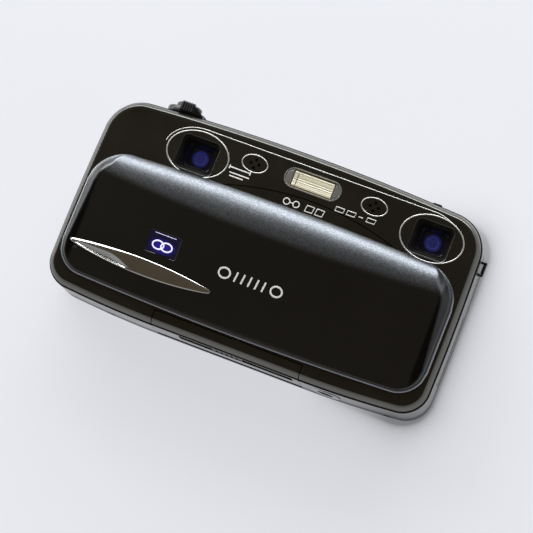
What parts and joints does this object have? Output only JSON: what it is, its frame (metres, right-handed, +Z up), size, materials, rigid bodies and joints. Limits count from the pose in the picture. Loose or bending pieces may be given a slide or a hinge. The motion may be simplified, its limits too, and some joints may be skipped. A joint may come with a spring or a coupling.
{
  "type": "stereo camera",
  "caption": "Slim twin-lens stereo camera with a sliding front cover, oval lens rings, flash, rear screen, top zoom lever, battery door and tripod socket.",
  "frame": {"origin": "centre of the base, midway between the front panel face and the back face", "axes": "+X to the viewer's right when facing the lenses, +Y from front to back, +Z up"},
  "size_m": [0.1231, 0.0287, 0.0679],
  "materials": {
    "case_black": "satin black case paint",
    "cover_paint": "satin black anodised cover",
    "chrome": "bright polished plating",
    "steel": "plain sheet and pin steel",
    "dark_plastic": "matt black moulding",
    "clear_plastic": "clear ribbed window",
    "reflector": "bright dish",
    "glass": "coated optical glass",
    "badge_plastic": "dark blue lit window",
    "board": "green solder mask",
    "screen": "dark display",
    "cell_label": "grey battery sleeve",
    "control_metal": "turned dark metal",
    "control_plastic": "moulded keys"
  },
  "bodies": {
    "case": {"front_panel": "case_black", "body_band": "case_black", "rear_cover": "case_black", "guide_rods": "steel", "lens_rings": "chrome", "mic_rings": "chrome", "panel_trim": "chrome", "microphones": "dark_plastic", "flash_window": "clear_plastic", "flash_reflector": "reflector", "xenon_tube": "glass", "flash_capacitor": "dark_plastic", "lens_hoods": "dark_plastic", "front_lenses": "glass", "fold_prisms": "glass", "lens_housings": "dark_plastic", "image_sensors": "board", "zoom_motors": "steel", "chassis": "steel", "main_board": "board", "board_chips": "dark_plastic", "lcd_glass": "glass", "parallax_barrier": "glass", "lcd_panel": "screen", "lcd_backlight": "dark_plastic", "battery": "cell_label", "battery_bay": "dark_plastic", "memory_card": "dark_plastic", "card_slot": "steel", "door_hinge_pin": "steel", "tripod_bush": "steel", "terminal_pin": "steel", "side_sockets": "steel", "strap_eyelet": "steel", "case_screws": "steel", "speaker": "dark_plastic"},
    "cover": {"slide_cover": "cover_paint", "cover_grip": "chrome", "badge_window": "badge_plastic", "cover_carriage": "steel", "cover_screws": "steel"},
    "door": {"battery_door": "case_black"},
    "latch": {"door_latch": "dark_plastic"},
    "zoom_left": {"zoom_carriage_left": "dark_plastic"},
    "zoom_right": {"zoom_carriage_right": "dark_plastic"},
    "focus_left": {"focus_carriage_left": "dark_plastic"},
    "focus_right": {"focus_carriage_right": "dark_plastic"},
    "zoom_lever": {"zoom_ring": "control_metal"},
    "shutter": {"shutter_button": "control_metal"},
    "parallax": {"parallax_lever": "dark_plastic"},
    "dial": {"mode_dial": "control_metal"},
    "pad": {"menu_pad": "control_plastic"},
    "ok": {"ok_button": "control_plastic"},
    "terminal": {"terminal_cover": "case_black"},
    "playback_key": {"button_playback": "control_plastic"},
    "display_key": {"button_display": "control_plastic"},
    "stereo_key": {"button_stereo": "control_plastic"},
    "photo_key": {"button_photo": "control_plastic"},
    "movie_key": {"button_movie": "control_plastic"}
  },
  "joints": [
    {"name": "cover_slide", "type": "slide", "parent": "case", "child": "cover", "axis": [0, 0, 1], "range_m": [0, 0.0165]},
    {"name": "door_hinge", "type": "hinge", "parent": "case", "child": "door", "pos_m": [0, 0.0047, 0.0016], "axis": [1, 0, 0], "range_deg": [0, 95]},
    {"name": "latch_slide", "type": "slide", "parent": "door", "child": "latch", "axis": [1, 0, 0], "range_m": [0, 0.003]},
    {"name": "zoom_left_slide", "type": "slide", "parent": "case", "child": "zoom_left", "axis": [0, 0, 1], "range_m": [0, 0.013]},
    {"name": "zoom_right_slide", "type": "slide", "parent": "case", "child": "zoom_right", "axis": [0, 0, 1], "range_m": [0, 0.013]},
    {"name": "focus_left_slide", "type": "slide", "parent": "case", "child": "focus_left", "axis": [0, 0, 1], "range_m": [0, 0.004]},
    {"name": "focus_right_slide", "type": "slide", "parent": "case", "child": "focus_right", "axis": [0, 0, 1], "range_m": [0, 0.004]},
    {"name": "zoom_turn", "type": "hinge", "parent": "case", "child": "zoom_lever", "pos_m": [-0.0398, -0.0015, 0.0649], "axis": [0, 0, 1], "range_deg": [-20, 20], "stiffness_Nm_per_rad": 0.004},
    {"name": "shutter_press", "type": "slide", "parent": "case", "child": "shutter", "axis": [0, 0, -1], "range_m": [0, 0.0008], "stiffness_N_per_m": 600},
    {"name": "parallax_push", "type": "slide", "parent": "case", "child": "parallax", "axis": [1, 0, 0], "range_m": [-0.0014, 0.0014], "stiffness_N_per_m": 300},
    {"name": "dial_turn", "type": "hinge", "parent": "case", "child": "dial", "pos_m": [-0.0518, 0.0105, 0.0499], "axis": [0, 1, 0], "range_deg": [-150, 150]},
    {"name": "pad_press", "type": "slide", "parent": "case", "child": "pad", "axis": [0, -1, 0], "range_m": [0, 0.0004], "stiffness_N_per_m": 800},
    {"name": "ok_press", "type": "slide", "parent": "case", "child": "ok", "axis": [0, -1, 0], "range_m": [0, 0.0004], "stiffness_N_per_m": 800},
    {"name": "terminal_hinge", "type": "hinge", "parent": "case", "child": "terminal", "pos_m": [0.05995, 0.0014, 0.025], "axis": [0, 0, 1], "range_deg": [0, 92]},
    {"name": "playback_key_press", "type": "slide", "parent": "case", "child": "playback_key", "axis": [0, -1, 0], "range_m": [0, 0.0004], "stiffness_N_per_m": 800},
    {"name": "display_key_press", "type": "slide", "parent": "case", "child": "display_key", "axis": [0, -1, 0], "range_m": [0, 0.0004], "stiffness_N_per_m": 800},
    {"name": "stereo_key_press", "type": "slide", "parent": "case", "child": "stereo_key", "axis": [0, -1, 0], "range_m": [0, 0.0004], "stiffness_N_per_m": 800},
    {"name": "photo_key_press", "type": "slide", "parent": "case", "child": "photo_key", "axis": [0, -1, 0], "range_m": [0, 0.0004], "stiffness_N_per_m": 800},
    {"name": "movie_key_press", "type": "slide", "parent": "case", "child": "movie_key", "axis": [0, -1, 0], "range_m": [0, 0.0004], "stiffness_N_per_m": 800}
  ],
  "couplings": [
    {"joint": "zoom_right_slide", "follows": "zoom_left_slide", "ratio": 1},
    {"joint": "focus_right_slide", "follows": "focus_left_slide", "ratio": 1}
  ]
}
